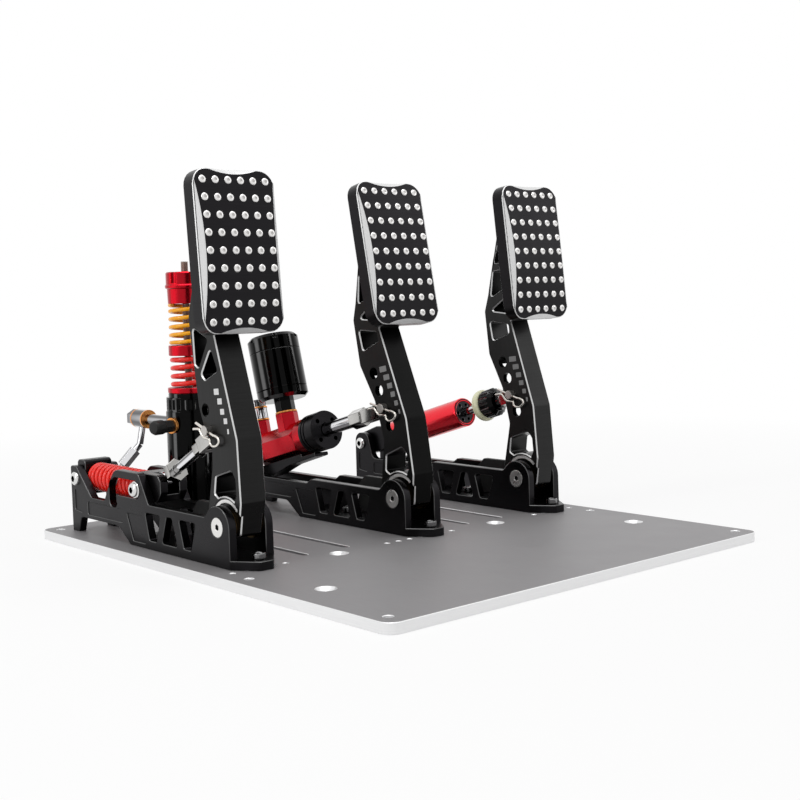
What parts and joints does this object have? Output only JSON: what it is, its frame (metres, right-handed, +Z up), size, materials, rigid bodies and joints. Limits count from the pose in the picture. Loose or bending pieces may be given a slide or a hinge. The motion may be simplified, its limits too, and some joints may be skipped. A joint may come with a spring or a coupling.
{
  "type": "sim racing pedal set",
  "caption": "Clutch, hydraulic brake and throttle pedals for a driving simulator, on a flat plate, with sprung linkages, a master cylinder and a spring tower.",
  "frame": {"origin": "middle of the underside of the base plate", "axes": "+X to the driver's right, +Y away from the driver, +Z up"},
  "size_m": [0.4, 0.47, 0.3021],
  "materials": {
    "plate": "satin grey anodised, bare milled edges",
    "black_alloy": "satin black anodised with bright cut edges",
    "stud_steel": "polished domed studs",
    "stainless": "bright stainless",
    "chrome_rod": "hard chromed and ground",
    "red_alloy": "gloss red anodised",
    "red_spring": "gloss red powder coat",
    "yellow_spring": "gloss yellow powder coat",
    "gloss_black": "gloss black anodised",
    "copper": "copper sealing washers and a brass ring",
    "bronze": "plain bronze bush",
    "black_plastic": "matt moulded",
    "urethane": "pale cast urethane",
    "steel_hose": "rubber hose under a braided steel sleeve",
    "dark_steel": "plain turned steel",
    "spring_steel": "bare spring wire",
    "black_screws": "blackened steel"
  },
  "bodies": {
    "base": {"base_plate": "plate", "clutch_frame": "black_alloy", "brake_frame": "black_alloy", "throttle_frame": "black_alloy", "frame_screws": "black_screws", "pivot_bolts": "stainless", "pivot_bushings": "bronze", "rear_bolts": "stainless", "pedal_sensors": "black_plastic", "clutch_spring": "red_spring", "clutch_rear_block": "black_alloy", "brake_hose": "steel_hose", "slave_body": "black_alloy", "lower_spring": "red_spring", "upper_spring": "yellow_spring", "top_collar": "red_alloy", "slave_rod": "dark_steel", "slave_port": "stainless", "slave_washers": "copper", "bleed_cap": "black_plastic", "throttle_spring": "spring_steel"},
    "clutch_pedal": {"clutch_arm": "black_alloy", "clutch_face": "black_alloy", "clutch_studs": "stud_steel", "clutch_pin": "stainless", "clutch_clip": "stainless"},
    "clutch_link": {"clutch_clevis": "stainless", "clutch_pushrod": "chrome_rod", "clutch_locknut": "stainless"},
    "clutch_slider": {"clutch_carriage": "black_alloy", "clutch_slide_bolts": "stainless", "clutch_guide_rod": "dark_steel"},
    "brake_pedal": {"brake_arm": "black_alloy", "brake_face": "black_alloy", "brake_studs": "stud_steel", "brake_pin": "stainless", "brake_clip": "stainless"},
    "brake_plunger": {"brake_clevis": "stainless", "brake_rod": "chrome_rod"},
    "master_cylinder": {"master_body": "red_alloy", "master_cap": "black_alloy", "master_cradle": "black_alloy", "reservoir": "gloss_black", "reservoir_cap": "gloss_black", "master_washers": "copper", "outlet_banjo": "stainless"},
    "slave_lift": {"slave_piston": "red_alloy"},
    "spring_collar": {"middle_collar": "red_alloy"},
    "throttle_pedal": {"throttle_arm": "black_alloy", "throttle_face": "black_alloy", "throttle_studs": "stud_steel", "throttle_pin": "stainless", "throttle_clip": "stainless"},
    "throttle_plunger": {"throttle_clevis": "stainless", "throttle_rod": "chrome_rod", "throttle_bumper": "urethane"},
    "throttle_dial": {"throttle_knob": "black_alloy"},
    "throttle_damper": {"throttle_tube": "red_alloy", "throttle_cap": "black_alloy", "throttle_trunnion": "black_alloy"}
  },
  "joints": [
    {"name": "clutch_press", "type": "hinge", "parent": "base", "child": "clutch_pedal", "pos_m": [-0.161, -0.019, 0.038], "axis": [-1, 0, 0], "range_deg": [0, 18], "stiffness_Nm_per_rad": 60, "springref_deg": -5.73},
    {"name": "clutch_link_turn", "type": "hinge", "parent": "clutch_pedal", "child": "clutch_link", "pos_m": [-0.161, -0.00139, 0.10884], "axis": [-1, 0, 0], "range_deg": [-23.6, 0]},
    {"name": "clutch_slide", "type": "slide", "parent": "base", "child": "clutch_slider", "axis": [0, 1, 0], "range_m": [0, 0.0255], "deforming": ["clutch_spring"]},
    {"name": "brake_press", "type": "hinge", "parent": "base", "child": "brake_pedal", "pos_m": [0.012, -0.019, 0.038], "axis": [-1, 0, 0], "range_deg": [0, 10], "stiffness_Nm_per_rad": 200, "springref_deg": -1.72},
    {"name": "brake_rod_turn", "type": "hinge", "parent": "brake_pedal", "child": "brake_plunger", "pos_m": [0.012, -0.00238, 0.1125], "axis": [-1, 0, 0], "range_deg": [-10.3, 0]},
    {"name": "master_swing", "type": "hinge", "parent": "base", "child": "master_cylinder", "pos_m": [0.012, 0.2005, 0.058], "axis": [-1, 0, 0], "range_deg": [-0.3, 0]},
    {"name": "slave_rise", "type": "slide", "parent": "base", "child": "slave_lift", "axis": [0, 0, 1], "range_m": [0, 0.0142], "deforming": ["lower_spring"]},
    {"name": "collar_rise", "type": "slide", "parent": "base", "child": "spring_collar", "axis": [0, 0, 1], "range_m": [0, 0.0086], "deforming": ["upper_spring"]},
    {"name": "throttle_press", "type": "hinge", "parent": "base", "child": "throttle_pedal", "pos_m": [0.162, -0.019, 0.038], "axis": [-1, 0, 0], "range_deg": [0, 12], "stiffness_Nm_per_rad": 30, "springref_deg": -4.58},
    {"name": "throttle_rod_turn", "type": "hinge", "parent": "throttle_pedal", "child": "throttle_plunger", "pos_m": [0.162, -0.00762, 0.11348], "axis": [-1, 0, 0], "range_deg": [-12, 0], "deforming": ["throttle_spring"]},
    {"name": "throttle_swing", "type": "hinge", "parent": "base", "child": "throttle_damper", "pos_m": [0.162, 0.2005, 0.0545], "axis": [-1, 0, 0], "range_deg": [0, 0.3]},
    {"name": "knob_turn", "type": "hinge", "parent": "throttle_plunger", "child": "throttle_dial", "pos_m": [0.162, -0.00762, 0.11348], "axis": [0, -0.9621, 0.2726], "continuous": true}
  ],
  "couplings": [
    {"joint": "clutch_link_turn", "follows": "clutch_press", "ratio": -1.3045},
    {"joint": "clutch_slide", "follows": "clutch_press", "m_per_rad": 0.080873},
    {"joint": "brake_rod_turn", "follows": "brake_press", "ratio": -1.0115},
    {"joint": "master_swing", "follows": "brake_press", "ratio": -0.0115},
    {"joint": "slave_rise", "follows": "brake_press", "m_per_rad": 0.08021},
    {"joint": "collar_rise", "follows": "brake_press", "m_per_rad": 0.04813},
    {"joint": "throttle_rod_turn", "follows": "throttle_press", "ratio": -0.9854},
    {"joint": "throttle_swing", "follows": "throttle_press", "ratio": 0.0146}
  ]
}
